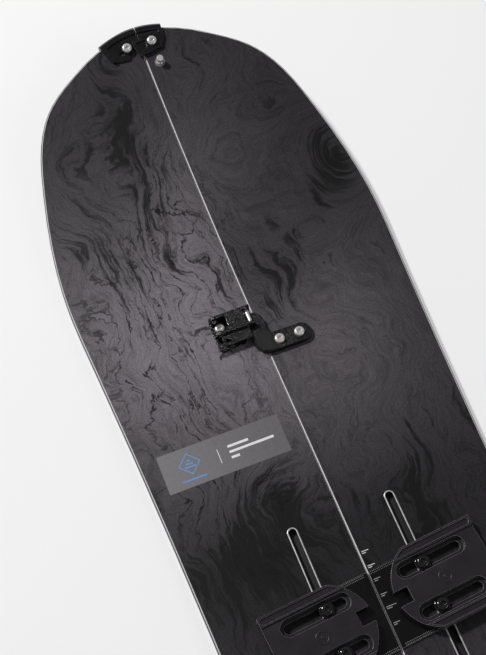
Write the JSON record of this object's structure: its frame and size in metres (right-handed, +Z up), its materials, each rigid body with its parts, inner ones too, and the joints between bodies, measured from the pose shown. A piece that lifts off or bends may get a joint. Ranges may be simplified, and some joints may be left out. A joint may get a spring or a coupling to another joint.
{
  "type": "splitboard",
  "caption": "Two-piece snowboard split along its length, with tip clips, closing toggle clips and sliding binding pucks in channels.",
  "frame": {"origin": "centre of the running base on the seam, at mid-length, on the surface the board lies on", "axes": "+Y towards the nose along the seam, +X to the right when facing the nose, +Z up from the base"},
  "size_m": [0.3042, 1.5938, 0.0529],
  "materials": {
    "base_plastic": "sintered, satin",
    "edge_steel": "ground",
    "glass_laminate": "resin, semi-matt",
    "core_wood": "sealed in resin",
    "sidewall_plastic": "satin",
    "topsheet_film": "printed, satin",
    "channel_rail": "moulded, satin",
    "insert_steel": "plain",
    "puck_plastic": "moulded, matt",
    "plate_plastic": "textured, matt",
    "bolt_black": "gloss black",
    "nut_steel": "plain",
    "clip_black": "anodised, speckled",
    "pin_steel": "polished",
    "screw_steel": "polished",
    "stud_steel": "turned"
  },
  "bodies": {
    "left_half": {"clip_screws": "screw_steel", "front_clip_base": "clip_black", "front_clip_pivot_pins": "pin_steel", "left_base_sheet": "base_plastic", "left_channels": "channel_rail", "left_core": "core_wood", "left_inner_edge": "edge_steel", "left_inner_sidewall": "sidewall_plastic", "left_inserts": "insert_steel", "left_lower_laminate": "glass_laminate", "left_outer_edge": "edge_steel", "left_outer_sidewall": "sidewall_plastic", "left_tip_screws": "screw_steel", "left_topsheet": "topsheet_film", "left_upper_laminate": "glass_laminate", "nose_clip_left": "clip_black", "rear_clip_base": "clip_black", "rear_clip_pivot_pins": "pin_steel", "tail_clip_left": "clip_black"},
    "right_half": {"front_hook_plate": "clip_black", "hook_screws": "screw_steel", "nose_clip_right": "clip_black", "rear_hook_plate": "clip_black", "right_base_sheet": "base_plastic", "right_channels": "channel_rail", "right_core": "core_wood", "right_inner_edge": "edge_steel", "right_inner_sidewall": "sidewall_plastic", "right_inserts": "insert_steel", "right_lower_laminate": "glass_laminate", "right_outer_edge": "edge_steel", "right_outer_sidewall": "sidewall_plastic", "right_studs": "stud_steel", "right_tip_screws": "screw_steel", "right_topsheet": "topsheet_film", "right_upper_laminate": "glass_laminate", "tail_clip_right": "clip_black"},
    "front_lever": {"front_clip_lever": "clip_black", "front_clip_bar": "pin_steel"},
    "rear_lever": {"rear_clip_lever": "clip_black", "rear_clip_bar": "pin_steel"},
    "front_left_bolt_set": {"front_left_bolts": "bolt_black", "front_left_nuts": "nut_steel"},
    "front_left_puck_set": {"front_left_puck": "puck_plastic", "front_left_puck_plate": "plate_plastic"},
    "front_right_bolt_set": {"front_right_bolts": "bolt_black", "front_right_nuts": "nut_steel"},
    "front_right_puck_set": {"front_right_puck": "puck_plastic", "front_right_puck_plate": "plate_plastic"},
    "rear_left_bolt_set": {"rear_left_bolts": "bolt_black", "rear_left_nuts": "nut_steel"},
    "rear_left_puck_set": {"rear_left_puck": "puck_plastic", "rear_left_puck_plate": "plate_plastic"},
    "rear_right_bolt_set": {"rear_right_bolts": "bolt_black", "rear_right_nuts": "nut_steel"},
    "rear_right_puck_set": {"rear_right_puck": "puck_plastic", "rear_right_puck_plate": "plate_plastic"}
  },
  "joints": [
    {"name": "halves_slide", "type": "slide", "parent": "left_half", "child": "right_half", "axis": [1, 0, 0], "range_m": [0, 0.045]},
    {"name": "front_lever_hinge", "type": "hinge", "parent": "left_half", "child": "front_lever", "pos_m": [-0.0356, 0.4834, 0.016], "axis": [0, -1, 0], "range_deg": [0, 130]},
    {"name": "rear_lever_hinge", "type": "hinge", "parent": "left_half", "child": "rear_lever", "pos_m": [-0.0356, -0.4834, 0.016], "axis": [0, -1, 0], "range_deg": [0, 130]},
    {"name": "front_left_channel_slide", "type": "slide", "parent": "left_half", "child": "front_left_bolt_set", "axis": [0, 1, 0], "range_m": [-0.055, 0.055]},
    {"name": "front_left_puck_slide", "type": "slide", "parent": "front_left_bolt_set", "child": "front_left_puck_set", "axis": [-0.9965, -0.0837, 0], "range_m": [0, 0.013]},
    {"name": "front_right_channel_slide", "type": "slide", "parent": "right_half", "child": "front_right_bolt_set", "axis": [0, 1, 0], "range_m": [-0.055, 0.055]},
    {"name": "front_right_puck_slide", "type": "slide", "parent": "front_right_bolt_set", "child": "front_right_puck_set", "axis": [0.9965, 0.0837, 0], "range_m": [0, 0.013]},
    {"name": "rear_left_channel_slide", "type": "slide", "parent": "left_half", "child": "rear_left_bolt_set", "axis": [0, 1, 0], "range_m": [-0.055, 0.055]},
    {"name": "rear_left_puck_slide", "type": "slide", "parent": "rear_left_bolt_set", "child": "rear_left_puck_set", "axis": [-1, 0, 0], "range_m": [0, 0.013]},
    {"name": "rear_right_channel_slide", "type": "slide", "parent": "right_half", "child": "rear_right_bolt_set", "axis": [0, 1, 0], "range_m": [-0.055, 0.055]},
    {"name": "rear_right_puck_slide", "type": "slide", "parent": "rear_right_bolt_set", "child": "rear_right_puck_set", "axis": [1, 0, 0], "range_m": [0, 0.013]}
  ],
  "couplings": [
    {"joint": "front_lever_hinge", "follows": "halves_slide", "rad_per_m": 50},
    {"joint": "rear_lever_hinge", "follows": "halves_slide", "rad_per_m": 50}
  ]
}
